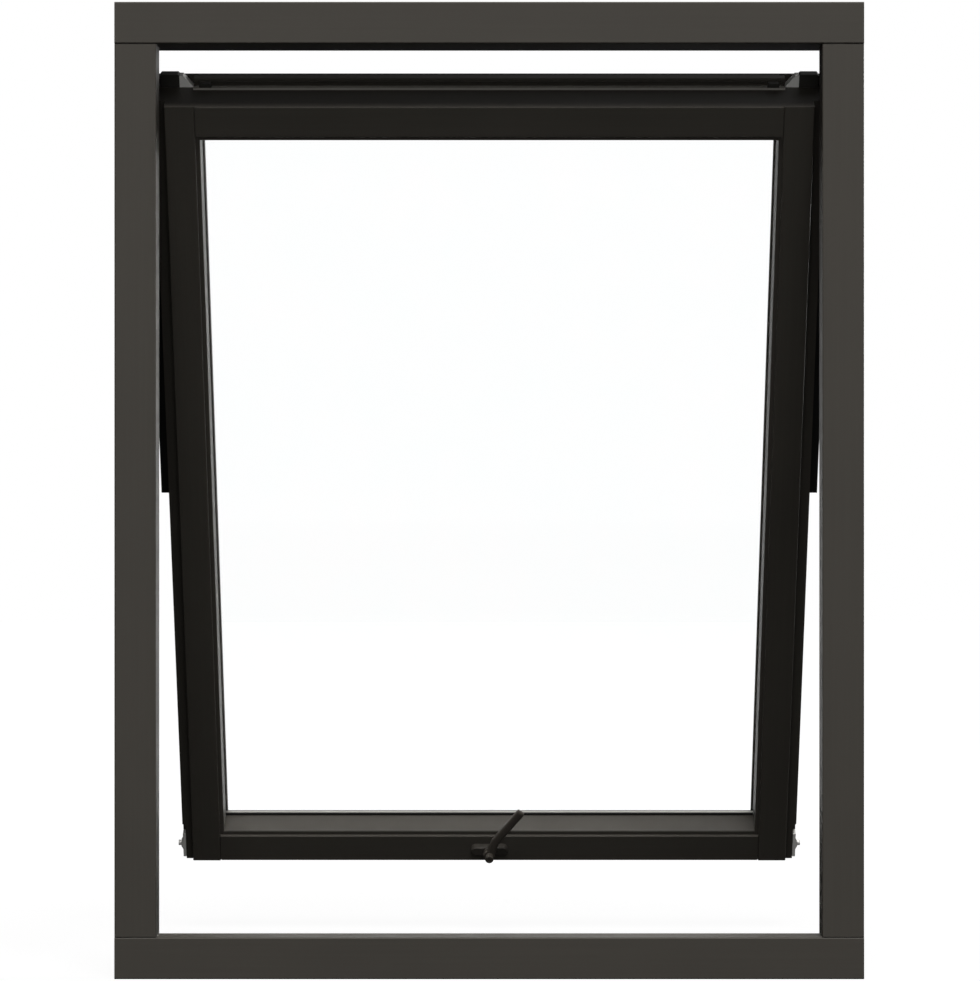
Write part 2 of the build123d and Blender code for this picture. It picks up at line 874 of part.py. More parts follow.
def lock_cam():
    plate_x = (flange_half - cam_plate, flange_half)
    plate_d = (side_flange_d + running_gap, groove_back_d - running_gap)
    plate = block(plate_x, plate_d, (cam_z - cam_length / 2, cam_z + cam_length / 2))
    half = cam_wedge_length / 2
    roller_d = (groove_mid_d - cam_roller_radius, groove_mid_d + cam_roller_radius)
    points = [
        (flange_half, cam_z - half),
        (flange_half + cam_wedge, cam_z - cam_roller_radius),
        (flange_half + cam_wedge, cam_z + cam_roller_radius),
        (flange_half, cam_z + half),
    ]
    wedge = along_y(points, roller_d)
    roller = bar_x(cam_roller_radius, (flange_half, flange_half + cam_reach), groove_mid_d, cam_z)
    return plate + wedge + roller


# Every piece at rest, by name
cladding_right = jamb_cladding()
rail_right = guide_rail()
keep_right = keep_plate()
for screw_place in keep_screw_places():
    keep_right -= keep_screw(screw_place, screw_clearance)
keep_screws_right = [keep_screw(place) for place in keep_screw_places()]
pivot_right = arm_pivot()
arm_place = Pos(0, pivot_y, arm_pivot_z) * Rot(-rest_angle, 0, 0)
shoe_place = Pos(0, pivot_y, pivot_rest_z)

fixed_pieces = {
    "frame_head": frame_head,
    "frame_sill": frame_sill,
    "frame_jamb_right": jamb_right,
    "frame_jamb_left": jamb_left,
    "head_cladding": head_cladding,
    "sill_cladding": sill_cladding,
    "jamb_cladding_right": cladding_right,
    "jamb_cladding_left": other_side(cladding_right),
    "guide_rail_right": rail_right,
    "guide_rail_left": other_side(rail_right),
    "rail_screws": Compound(rail_screws()),
    "arm_pivot_right": pivot_right,
    "arm_pivot_left": other_side(pivot_right),
    "side_seal": side_seal(),
    "keep_right": keep_right,
    "keep_left": other_side(keep_right),
    "keep_screws": Compound(keep_screws_right + [other_side(piece) for piece in keep_screws_right]),
    "hinge_arm_right": arm_place * hinge_arm(open_pivot_clearance),
    "hinge_arm_left": arm_place * other_side(hinge_arm(pivot_fit)),
    "guide_shoe_right": shoe_place * guide_shoe(),
    "guide_shoe_left": shoe_place * other_side(guide_shoe()),
}

stile_right = sash_stile()
bar_right = hinge_bar()
sash_pieces = {
    "sash_stile_right": stile_right,
    "sash_stile_left": other_side(stile_right),
    "sash_top_rail": sash_top_rail,
    "sash_bottom_rail": sash_bottom_rail,
    "sash_cladding_right": sash_cladding_side,
    "sash_cladding_left": other_side(sash_cladding_side),
    "sash_cladding_top": sash_cladding_top,
    "sash_cladding_bottom": sash_cladding_bottom,
    "pane_inner": pane(glass_in_d),
    "pane_outer": pane(glass_out_d - pane_thickness),
    "glass_spacer": glass_spacer,
    "glazing_seal_inner": glazing_seal_inner,
    "glazing_seal_outer": glazing_seal_outer,
    "setting_blocks": Compound(setting_blocks()),
    "top_seal": top_seal,
    "hinge_bar_right": bar_right,
    "hinge_bar_left": other_side(bar_right),
    "hinge_bar_screws": Compound(hinge_bar_screws()),
    "top_strip": top_strip(),
    "strip_stops": Compound(strip_stops()),
    "corner_bracket_right": corner_bracket(),
    "corner_bracket_left": other_side(corner_bracket()),
    "bearing_block_right": bearing_block(),
    "bearing_block_left": other_side(bearing_block()),
    "drive_gearbox": drive_gearbox(),
    "handle_rose": handle_rose(),
    "handle_lever": handle_lever(),
    "handle_spindle": handle_spindle(),
    "drive_rod_right": drive_rod(),
    "drive_rod_left": other_side(drive_rod()),
    "corner_drives": Compound(corner_drives()),
    "lock_cam_right": lock_cam(),
    "lock_cam_left": other_side(lock_cam()),
}

os.makedirs("parts", exist_ok=True)
for name, piece in fixed_pieces.items():
    export_step(piece, f"parts/{name}.step")
for name, piece in sash_pieces.items():
    export_step(sash_place * piece, f"parts/{name}.step")
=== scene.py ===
import logging
from dataclasses import dataclass, field
from enum import Enum
from math import cos, pi, radians, sin, tau
from typing import Any

import bmesh
import bpy
import numpy as np
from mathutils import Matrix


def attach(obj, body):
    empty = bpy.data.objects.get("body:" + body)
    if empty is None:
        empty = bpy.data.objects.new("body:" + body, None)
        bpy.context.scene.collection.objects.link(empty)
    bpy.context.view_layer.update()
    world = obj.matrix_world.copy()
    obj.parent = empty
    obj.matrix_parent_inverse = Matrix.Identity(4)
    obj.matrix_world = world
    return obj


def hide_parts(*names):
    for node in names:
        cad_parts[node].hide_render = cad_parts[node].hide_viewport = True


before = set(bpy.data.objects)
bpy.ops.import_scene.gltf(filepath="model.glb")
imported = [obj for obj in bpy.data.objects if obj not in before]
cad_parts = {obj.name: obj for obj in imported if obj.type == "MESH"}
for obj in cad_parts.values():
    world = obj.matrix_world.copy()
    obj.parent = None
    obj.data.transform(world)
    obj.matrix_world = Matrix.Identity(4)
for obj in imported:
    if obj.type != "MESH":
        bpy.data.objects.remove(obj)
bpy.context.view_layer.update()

LOG = logging.getLogger("window")
MM = 0.001
UPRIGHT = np.diag([0.0, 0.0, 1.0])
LEVEL = np.diag([1.0, 1.0, 0.0])
SIDES = ("left", "right")

Shade = tuple[float, float, float]
Point = tuple[float, float, float]
Inputs = dict[Any, Any]


def linear(shade: Shade) -> tuple[float, float, float, float]:
    """Turns a screen colour into linear light.

    Args:
        shade: Red, green and blue from 0 to 255, as seen on a screen.

    Returns:
        The colour as shaders take it, with full alpha.
    """
    part = np.asarray(shade) / 255
    low, high = part / 12.92, ((part + 0.055) / 1.055) ** 2.4
    red, green, blue = np.where(part <= 0.04045, low, high)
    return (float(red), float(green), float(blue), 1.0)


class Tree:
    """A node tree, with short calls that add and join its nodes."""

    def __init__(self, tree: bpy.types.NodeTree) -> None:
        """Keeps the tree."""
        self.tree = tree

    def add(self, kind: str, inputs: Inputs | None = None, **settings: Any) -> bpy.types.Node:
        """Adds a node.

        Args:
            kind: The node's type, after "ShaderNode".
            inputs: Input sockets by name or number, each with a value or a socket to join it to.
            settings: The node's own settings.

        Returns:
            The new node.
        """
        name = kind if kind.startswith("Node") else f"ShaderNode{kind}"
        node = self.tree.nodes.new(name)
        for key, value in settings.items():
            setattr(node, key, value)
        for key, value in (inputs or {}).items():
            if isinstance(value, bpy.types.NodeSocket):
                self.tree.links.new(value, node.inputs[key])
            else:
                node.inputs[key].default_value = value
        return node

    def math(self, operation: str, first: Any, second: Any = 0.0) -> bpy.types.NodeSocket:
        """The result of a sum on two values or sockets."""
        return self.add("Math", {0: first, 1: second}, operation=operation).outputs[0]

    def blend(self, share: Any, first: Any, second: Any, way: str = "MIX") -> bpy.types.NodeSocket:
        """Two colours mixed by a share from 0 to 1."""
        inputs = {0: share, 6: first, 7: second}
        return self.add("Mix", inputs, data_type="RGBA", blend_type=way).outputs[2]

    def spread(
        self, value: Any, low: float, high: float, to_low: Any, to_high: Any
    ) -> bpy.types.NodeSocket:
        """A value carried from one range to another, and held at its ends."""
        inputs = {"Value": value, "From Min": low, "From Max": high, "To Min": to_low, "To Max": to_high}
        return self.add("MapRange", inputs).outputs[0]

    def noise(self, vector: Any, scale: Any, detail: float = 2.0) -> bpy.types.NodeSocket:
        """Smooth noise from 0 to 1 at a scale in waves a metre."""
        inputs = {"Vector": vector, "Scale": scale, "Detail": detail}
        return self.add("TexNoise", inputs).outputs[0]

    def stretched(self, vector: Any, stretch: Any) -> bpy.types.NodeSocket:
        """A place multiplied along each axis."""
        return self.add("VectorMath", {0: vector, 1: stretch}, operation="MULTIPLY").outputs[0]

    def scaled(self, colour: Any, factor: Any) -> bpy.types.NodeSocket:
        """A colour made lighter or darker by a factor."""
        return self.add("VectorMath", {0: colour, "Scale": factor}, operation="SCALE").outputs[0]

    def weighed(self, first: Any, share: Any, second: Any, other: Any) -> bpy.types.NodeSocket:
        """Two values added up, each by its own share."""
        near = self.math("MULTIPLY", first, share)
        return self.math("ADD", near, self.math("MULTIPLY", second, other))

    def join(self, start: bpy.types.NodeSocket, end: bpy.types.NodeSocket) -> None:
        """Joins an output to an input."""
        self.tree.links.new(start, end)


class Grain(Enum):
    """Which way a member runs: stretch of its marks along X, Y and Z, in waves a metre."""

    ACROSS = (4.0, 260.0, 260.0)
    UPRIGHT = (260.0, 260.0, 4.0)
    NONE = (90.0, 90.0, 90.0)


class Effects:
    """Shader groups that several finishes share, each built once."""

    BRUSH, MOTTLE = 0.45, 0.55
    MOTTLE_WAVES, PEEL_WAVES = 7.0, 900.0
    BRUSH_RISE, PEEL_RISE = 0.7, 0.3
    ROUGH_SWING = 0.25
    BREAK_WAVES, PATCH_WAVES, DRIFT_WAVES = 60.0, 45.0, 25.0
    HALF = 0.5

    def __init__(self) -> None:
        """Builds every group."""
        self.film = self._film()
        self.wear_and_highlight = self._wear_and_highlight()
        self.dust_and_top_light = self._dust_and_top_light()
        self.grit = self._grit()

    @staticmethod
    def _start(
        name: str, inputs: dict[str, Any], outputs: dict[str, str]
    ) -> tuple[bpy.types.NodeTree, Tree, bpy.types.Node, bpy.types.Node]:
        """Starts a group.

        Args:
            name: The group's name.
            inputs: Socket type and value of each named input.
            outputs: Socket type of each named output.

        Returns:
            The group, its tree, and its input and output nodes.
        """
        group = bpy.data.node_groups.new(name, "ShaderNodeTree")
        for label, (kind, value) in inputs.items():
            socket = group.interface.new_socket(label, in_out="INPUT", socket_type=kind)
            socket.default_value = value
        for label, kind in outputs.items():
            group.interface.new_socket(label, in_out="OUTPUT", socket_type=kind)
        tree = Tree(group)
        return group, tree, tree.add("NodeGroupInput"), tree.add("NodeGroupOutput")

    def _film(self) -> bpy.types.NodeTree:
        """Paint film: broad mottle, brush marks along the member and a fine peel.

        Returns:
            A group that puts out colour, roughness and height.
        """
        inputs = {
            "Colour": ("NodeSocketColor", (0.05, 0.05, 0.05, 1.0)),
            "Rough": ("NodeSocketFloat", 0.45),
            "Vary": ("NodeSocketFloat", 0.2),
            "Stretch": ("NodeSocketVector", Grain.NONE.value),
            "Lean": ("NodeSocketFloat", 0.0),
        }
        outputs = {
            "Colour": "NodeSocketColor",
            "Roughness": "NodeSocketFloat",
            "Height": "NodeSocketFloat",
        }
        group, tree, given, out = self._start("paint_film", inputs, outputs)
        place = tree.add("TexCoord").outputs["Object"]
        turn = {"Vector": place, "Angle": given.outputs["Lean"]}
        level = tree.add("VectorRotate", turn, rotation_type="X_AXIS").outputs[0]
        brush = tree.noise(tree.stretched(level, given.outputs["Stretch"]), 1.0, 4.0)
        mottle = tree.noise(level, self.MOTTLE_WAVES, 4.0)
        peel = tree.noise(level, self.PEEL_WAVES, 1.0)
        mixed = tree.weighed(brush, self.BRUSH, mottle, self.MOTTLE)
        centred = tree.math("SUBTRACT", mixed, self.HALF)
        change = tree.math("MULTIPLY", centred, given.outputs["Vary"])
        shade = tree.scaled(given.outputs["Colour"], tree.math("ADD", change, 1.0))
        swing = tree.math("MULTIPLY", centred, self.ROUGH_SWING)
        rough = tree.math("ADD", given.outputs["Rough"], swing)
        height = tree.weighed(brush, self.BRUSH_RISE, peel, self.PEEL_RISE)
        for label, socket in (("Colour", shade), ("Roughness", rough), ("Height", height)):
            tree.join(socket, out.inputs[label])
        return group

    def _wear_and_highlight(self) -> bpy.types.NodeTree:
        """Edge wearing and a painted edge highlight: one where the surface turns within a radius, broken
        up by noise.

        Returns:
            A group that puts out a mask.
        """
        inputs = {"Radius": ("NodeSocketFloat", 0.002), "Amount": ("NodeSocketFloat", 0.5)}
        group, tree, given, out = self._start("edge_wear_and_highlight", inputs, {"Mask": "NodeSocketFloat"})
        place = tree.add("TexCoord").outputs["Object"]
        soft = tree.add("Bevel", {"Radius": given.outputs["Radius"]}, samples=4).outputs[0]
        plain = tree.add("NewGeometry").outputs["Normal"]
        same = tree.add("VectorMath", {0: soft, 1: plain}, operation="DOT_PRODUCT").outputs["Value"]
        turned = tree.spread(same, 0.99, 0.8, 0.0, 1.0)
        broken = tree.spread(tree.noise(place, self.BREAK_WAVES, 4.0), 0.3, 0.7, 0.35, 1.0)
        mask = tree.math("MULTIPLY", tree.math("MULTIPLY", turned, broken), given.outputs["Amount"])
        tree.join(mask, out.inputs["Mask"])
        return group

    def _dust_and_top_light(self) -> bpy.types.NodeTree:
        """Dusting and a painted top light: paler where the surface looks up, in soft patches.

        Returns:
            A group that puts out a mask.
        """
        inputs = {"Amount": ("NodeSocketFloat", 0.2)}
        group, tree, given, out = self._start("dust_and_top_light_film", inputs, {"Mask": "NodeSocketFloat"})
        place = tree.add("TexCoord").outputs["Object"]
        normal = tree.add("NewGeometry").outputs["Normal"]
        up = tree.add("SeparateXYZ", {0: normal}).outputs["Z"]
        facing = tree.spread(up, 0.3, 1.0, 0.0, 1.0)
        patches = tree.spread(tree.noise(place, self.PATCH_WAVES, 5.0), 0.25, 0.75, 0.2, 1.0)
        mask = tree.math("MULTIPLY", tree.math("MULTIPLY", facing, patches), given.outputs["Amount"])
        tree.join(mask, out.inputs["Mask"])
        return group

    def _grit(self) -> bpy.types.NodeTree:
        """Moulded or coated grain: fine noise with a slow drift under it.

        Returns:
            A group that puts out a centred value and a height.
        """
        inputs = {
            "Scale": ("NodeSocketFloat", 1200.0),
            "Stretch": ("NodeSocketVector", (1.0, 1.0, 1.0)),
        }
        outputs = {"Value": "NodeSocketFloat", "Height": "NodeSocketFloat"}
        group, tree, given, out = self._start("fine_grain", inputs, outputs)
        place = tree.add("TexCoord").outputs["Object"]
        drawn = tree.stretched(place, given.outputs["Stretch"])
        fine = tree.noise(drawn, given.outputs["Scale"], 2.0)
        drift = tree.noise(place, self.DRIFT_WAVES, 3.0)
        both = tree.weighed(fine, self.HALF, drift, self.HALF)
        tree.join(tree.math("SUBTRACT", both, self.HALF), out.inputs["Value"])
        tree.join(fine, out.inputs["Height"])
        return group


@dataclass(frozen=True)
class Finish:
    """What every finish has: a name, a screen colour and a roughness."""

    name: str
    shade: Shade
    rough: float = 0.5
    gloss: float = 0.15
    bump: float = 0.1
    swing: float = 0.3

    def start(self) -> tuple[bpy.types.Material, Tree, bpy.types.Node]:
        """Starts the material.

        Returns:
            The material, its tree and its shader, with the constant values set.
        """
        material = bpy.data.materials.new(self.name)
        material.use_nodes = True
        tree = Tree(material.node_tree)
        shader = next(node for node in tree.tree.nodes if node.type == "BSDF_PRINCIPLED")
        shader.inputs["Specular IOR Level"].default_value = self.gloss
        return material, tree, shader

    def toned(self, tree: Tree, grain: bpy.types.Node, vary: float) -> bpy.types.NodeSocket:
        """The finish's colour, made lighter and darker by a centred grain."""
        change = tree.math("MULTIPLY", grain.outputs["Value"], vary)
        return tree.scaled(linear(self.shade)[:3], tree.math("ADD", change, 1.0))

    def roughen(self, tree: Tree, shader: bpy.types.Node, grain: bpy.types.Node) -> None:
        """Swings the roughness with a centred grain."""
        change = tree.math("MULTIPLY", grain.outputs["Value"], self.swing)
        tree.join(tree.math("ADD", change, self.rough), shader.inputs["Roughness"])

    def relief(
        self, tree: Tree, shader: bpy.types.Node, height: bpy.types.NodeSocket, depth: float
    ) -> None:
        """Joins a height to the shader's normal, at a depth in metres."""
        bump = tree.add("Bump", {"Height": height, "Strength": self.bump, "Distance": depth})
        tree.join(bump.outputs[0], shader.inputs["Normal"])

    def use(self, tree: Tree, group: bpy.types.NodeTree, values: Inputs) -> bpy.types.Node:
        """Places a shared effect with this finish's own values."""
        return tree.add("Group", values, node_tree=group)


@dataclass(frozen=True)
class Paint(Finish):
    """Satin paint on timber or a powder coat on metal."""

    grain: Grain = Grain.NONE
    lean: float = 0.0
    vary: float = 0.35
    # Lighter edges: edge wearing and a painted highlight, its amount and colour.
    wear_and_highlight: float = 0.2
    worn_and_lit_shade: Shade = (92, 88, 82)
    # Upward faces paler: pale dusting and a painted top light, its amount and colour.
    dust_and_top_light: float = 0.01
    top_light_dust_shade: Shade = (150, 146, 138)
    edge: float = 1.6 * MM
    depth: float = 0.3 * MM

    def material(self, effects: Effects) -> bpy.types.Material:
        """Builds the paint: film, lighter edges from edge wearing and a painted highlight, and a little
        pale dusting with a painted top light on upward faces.
        """
        material, tree, shader = self.start()
        film = self.use(tree, effects.film, {
            "Colour": linear(self.shade), "Rough": self.rough, "Vary": self.vary,
            "Stretch": self.grain.value, "Lean": self.lean,
        })
        wear_and_highlight = self.use(tree, effects.wear_and_highlight, {"Radius": self.edge, "Amount": self.wear_and_highlight})
        dust_and_top_light = self.use(tree, effects.dust_and_top_light, {"Amount": self.dust_and_top_light})
        # Lighter edges: edge wearing and a painted highlight where light catches them.
        edged = tree.blend(wear_and_highlight.outputs["Mask"], film.outputs["Colour"], linear(self.worn_and_lit_shade))
        # Paler where the surface looks up: dusting and a painted top light.
        topped = tree.blend(dust_and_top_light.outputs["Mask"], edged, linear(self.top_light_dust_shade))
        tree.join(topped, shader.inputs["Base Color"])
        tree.join(film.outputs["Roughness"], shader.inputs["Roughness"])
        self.relief(tree, shader, film.outputs["Height"], self.depth)
        return material


@dataclass(frozen=True)
class Metal(Finish):
    """Bare, plated or anodised metal with drawn marks, and brighter edges from edge wearing and a
    painted highlight.
    """

    metallic: float = 1.0
    stretch: tuple[float, float, float] = (1.0, 1.0, 1.0)
    vary: float = 0.25
    # Brighter edges: edge wearing and a painted highlight, its amount and colour.
    wear_and_highlight: float = 0.3
    worn_and_lit_shade: Shade = (190, 188, 182)
    scale: float = 420.0
    edge: float = 0.8 * MM
    depth: float = 0.1 * MM

    def material(self, effects: Effects) -> bpy.types.Material:
        """Builds the metal: drawn grain in colour, roughness and relief."""
        material, tree, shader = self.start()
        shader.inputs["Metallic"].default_value = self.metallic
        grain = self.use(tree, effects.grit, {"Scale": self.scale, "Stretch": self.stretch})
        wear_and_highlight = self.use(tree, effects.wear_and_highlight, {"Radius": self.edge, "Amount": self.wear_and_highlight})
        toned = self.toned(tree, grain, self.vary)
        # Brighter edges: edge wearing and a painted highlight where light catches them.
        edged = tree.blend(wear_and_highlight.outputs["Mask"], toned, linear(self.worn_and_lit_shade))
        tree.join(edged, shader.inputs["Base Color"])
        self.roughen(tree, shader, grain)
        self.relief(tree, shader, grain.outputs["Height"], self.depth)
        return material


@dataclass(frozen=True)
class Moulding(Finish):
    """Rubber or plastic with a fine moulded grain, and pale dusting with a painted top light on upward
    faces.
    """

    scale: float = 1400.0
    vary: float = 0.5
    # Upward faces paler: pale dusting and a painted top light, its amount and colour.
    dust_and_top_light: float = 0.12
    top_light_dust_shade: Shade = (120, 117, 110)
    depth: float = 0.2 * MM

    def material(self, effects: Effects) -> bpy.types.Material:
        """Builds the moulding: grain in colour, roughness and relief, then pale dusting with a painted
        top light.
        """
        material, tree, shader = self.start()
        grain = self.use(tree, effects.grit, {"Scale": self.scale})
        dust_and_top_light = self.use(tree, effects.dust_and_top_light, {"Amount": self.dust_and_top_light})
        toned = self.toned(tree, grain, self.vary)
        # Paler where the surface looks up: dusting and a painted top light.
        topped = tree.blend(dust_and_top_light.outputs["Mask"], toned, linear(self.top_light_dust_shade))
        tree.join(topped, shader.inputs["Base Color"])
        self.roughen(tree, shader, grain)
        self.relief(tree, shader, grain.outputs["Height"], self.depth)
        return material


@dataclass(frozen=True)
class ClearGlass(Finish):
    """Coated float glass with the faintest smears, which lets most lamp light through."""

    smear: Shade = (254, 255, 255)
    bend: float = 1.12
    passes: Shade = (0.82, 0.83, 0.825)
    smear_waves: float = 6.0

    def material(self, effects: Effects) -> bpy.types.Material:
        """Builds the glass: smears in its tint, and only a faint shadow from lamps."""
        material, tree, shader = self.start()
        shader.inputs["Transmission Weight"].default_value = 1.0
        shader.inputs["Roughness"].default_value = self.rough
        shader.inputs["IOR"].default_value = self.bend
        grain = self.use(tree, effects.grit, {"Scale": self.smear_waves})
        share = tree.spread(grain.outputs["Value"], -0.15, 0.25, 0.0, 1.0)
        tint = tree.blend(share, linear(self.shade), linear(self.smear))
        tree.join(tint, shader.inputs["Base Color"])
        clear = tree.add("BsdfTransparent", {"Color": (*self.passes, 1.0)})
        lamp = tree.add("LightPath").outputs["Is Shadow Ray"]
        both = tree.add("MixShader", {0: lamp, 1: shader.outputs[0], 2: clear.outputs[0]})
        end = next(node for node in tree.tree.nodes if node.type == "OUTPUT_MATERIAL")
        tree.join(both.outputs[0], end.inputs["Surface"])
        return material


class Finishes:
    """Every finish on the window, built once from the shared effects."""

    UMBER: Shade = (62, 59, 54)

    def __init__(self, lean: float) -> None:
        """Builds the finishes.

        Args:
            lean: How far the sash leans out, in radians, for the grain of its paint.
        """
        self.effects = Effects()
        self.paints(lean)
        self.metals()
        self.mouldings()
        clear = ClearGlass("float_glass", (255, 255, 255), rough=0.0, gloss=0.5)
        self.glass = clear.material(self.effects)

    def umber(self, name: str, grain: Grain, lean: float) -> bpy.types.Material:
        """Umber paint with its marks along a member, which leans by an angle."""
        paint = Paint(f"umber_paint_{name}", self.UMBER, grain=grain, lean=lean)
        return paint.material(self.effects)

    def paints(self, lean: float) -> None:
        """Umber paint by member, powder coat, and the handle's and the hinges' coats."""
        cover = Paint("umber_powder_coat", (58, 55, 51), rough=0.55, vary=0.15)
        arms = Paint("black_coated_steel", (30, 30, 29), rough=0.4, worn_and_lit_shade=(96, 95, 92))
        coat = Paint("dark_satin_coat", (58, 54, 49), rough=0.5, vary=0.15, wear_and_highlight=0.05)
        # The rose's coat is a darker copy of the lever's coat: painted shade on the rose.
        rose = Paint("rose_coat_painted_shade", (50, 47, 43), rough=0.55, vary=0.15, wear_and_highlight=0.05)
        self.frame_across = self.umber("across", Grain.ACROSS, 0.0)
        self.frame_upright = self.umber("upright", Grain.UPRIGHT, 0.0)
        self.sash_across = self.umber("sash_across", Grain.ACROSS, -lean)
        self.sash_upright = self.umber("sash_upright", Grain.UPRIGHT, -lean)
        self.cover = cover.material(self.effects)
        self.black_steel = arms.material(self.effects)
        self.coat = coat.material(self.effects)
        self.rose = rose.material(self.effects)

    def metals(self) -> None:
        """Plated fittings, anodised rails, the glass unit's spacer and the screws."""
        zinc = Metal("plated_metal", (186, 186, 182), rough=0.45, metallic=0.5)
        # Near-white with little metal: partly the plating's own pale grey, partly a painted reflection.
        bright = Metal("plate_with_painted_glint", (226, 225, 221), rough=0.45, metallic=0.2)
        rail = Metal("anodised_rail", (70, 68, 66), rough=0.4, stretch=(1.0, 1.0, 0.02))
        spacer = Metal("spacer_metal", (168, 166, 161), rough=0.4, stretch=(0.05, 1.0, 0.05))
        steel = Metal("screw_finish", (120, 119, 116), rough=0.35)
        self.zinc = zinc.material(self.effects)
        self.bright = bright.material(self.effects)
        self.rail = rail.material(self.effects)
        self.spacer = spacer.material(self.effects)
        self.steel = steel.material(self.effects)

    def mouldings(self) -> None:
        """Rubber beads, weather gaskets, black plastic and the pale strip, whose pale matte grey is a
        painted reflection.
        """
        rubber = Moulding("black_rubber", (24, 24, 23), rough=0.6, dust_and_top_light=0.04)
        gasket = Moulding("umber_gasket", (62, 60, 55), rough=0.6, dust_and_top_light=0.04)
        plastic = Moulding("black_plastic", (46, 45, 42), rough=0.5)
        # Pale matte grey in place of the metal strip's reflection: a painted reflection.
        strip = Moulding("pale_strip_painted_reflection", (146, 143, 137), rough=0.5, dust_and_top_light=0.05)
        self.rubber = rubber.material(self.effects)
        self.gasket = gasket.material(self.effects)
        self.plastic = plastic.material(self.effects)
        self.strip = strip.material(self.effects)


def grid_faces(rows: int, columns: int, loop_rows: bool, loop_columns: bool) -> list[list[int]]:
    """Faces of a grid of points: each joins two neighbours and the same two one row on.

    Args:
        rows: How many rows of points.
        columns: How many points in a row.
        loop_rows: Whether the last row joins the first.
        loop_columns: Whether each row joins its own end.

    Returns:
        Four point numbers for each face.
    """
    down = np.arange(rows if loop_rows else rows - 1)
    along = np.arange(columns if loop_columns else columns - 1)
    down, along = np.meshgrid(down, along, indexing="ij")
    below, beside = (down + 1) % rows, (along + 1) % columns
    near, far = down * columns, below * columns
    corners = (near + along, near + beside, far + beside, far + along)
    return np.stack(corners, axis=-1).reshape(-1, 4).tolist()


def end_caps(rows: int, columns: int) -> list[list[int]]:
    """The two faces that close the first and the last row of a grid of points."""
    return [list(range(columns)), list(range((rows - 1) * columns, rows * columns))]


def solid(
    name: str, points: np.ndarray, faces: list[list[int]], sharp: float = 40.0
) -> bpy.types.Object:
    """Makes a closed piece, with its faces outward.

    Args:
        name: The piece's name.
        points: Its points in metres, any shape that ends in three.
        faces: Point numbers of each face.
        sharp: Edges that turn more than this many degrees stay crisp.

    Returns:
        The new object, at the origin.
    """
    mesh = bpy.data.meshes.new(name)
    mesh.from_pydata(points.reshape(-1, 3).tolist(), [], faces)
    work = bmesh.new()
    work.from_mesh(mesh)
    bmesh.ops.recalc_face_normals(work, faces=work.faces)
    work.to_mesh(mesh)
    work.free()
    mesh.shade_smooth()
    mesh.set_sharp_from_angle(angle=radians(sharp))
    piece = bpy.data.objects.new(name, mesh)
    bpy.context.scene.collection.objects.link(piece)
    return piece


def settle(
    piece: bpy.types.Object, body: str, slot: str, finish: bpy.types.Material, *nodes: str
) -> None:
    """Gives a new piece its finish and its body, and hides the CAD nodes that it stands for.

    Args:
        piece: The new object.
        body: The body that it moves with.
        slot: The record's slot that its finish comes from. It is not used.
        finish: Its material.
        nodes: The CAD nodes that it replaces.
    """
    piece.data.materials.append(finish)
    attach(piece, body)
    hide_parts(*nodes)
    LOG.info("%s rides on %s for %s", piece.name, body, ", ".join(nodes))


def dress(finish: bpy.types.Material, *nodes: str) -> None:
    """Puts a finish on every slot of some CAD nodes."""
    for node in nodes:
        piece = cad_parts[node]
        if not piece.material_slots:
            piece.data.materials.append(finish)
        for slot in piece.material_slots:
            slot.material = finish
        LOG.info("%s wears %s", node, finish.name)


def both_sides(heights: tuple[float, ...]) -> tuple[np.ndarray, np.ndarray]:
    """Each height on the left and on the right: a sign and a height for each place."""
    side, height = np.meshgrid(np.array([-1.0, 1.0]), np.array(heights))
    return side.ravel(), height.ravel()


def turned_out(side: np.ndarray) -> np.ndarray:
    """Axes of screws that point along X by a sign: one set of three for each place."""
    return side[:, None, None] * LEVEL + UPRIGHT


@dataclass(frozen=True)
class SashPlace:
    """Where the sash's pivot line is at rest, and how far the sash leans out."""

    pivot_y: float = 51.5 * MM
    pivot_z: float = 1200.296 * MM
    lean: float = radians(26.25)

    def row(self, x: np.ndarray, depth: np.ndarray, height: np.ndarray) -> np.ndarray:
        """Carries places on the upright sash to the row frame.

        The place turns about the pivot line by the lean, then moves to the pivot's rest.

        Args:
            x: Across the window.
            depth: Outward from the pivot line.
            height: Up from the pivot line.

        Returns:
            One array of points.
        """
        y = self.pivot_y + depth * cos(self.lean) - height * sin(self.lean)
        z = self.pivot_z + depth * sin(self.lean) + height * cos(self.lean)
        return np.stack(np.broadcast_arrays(x, y, z), axis=-1)


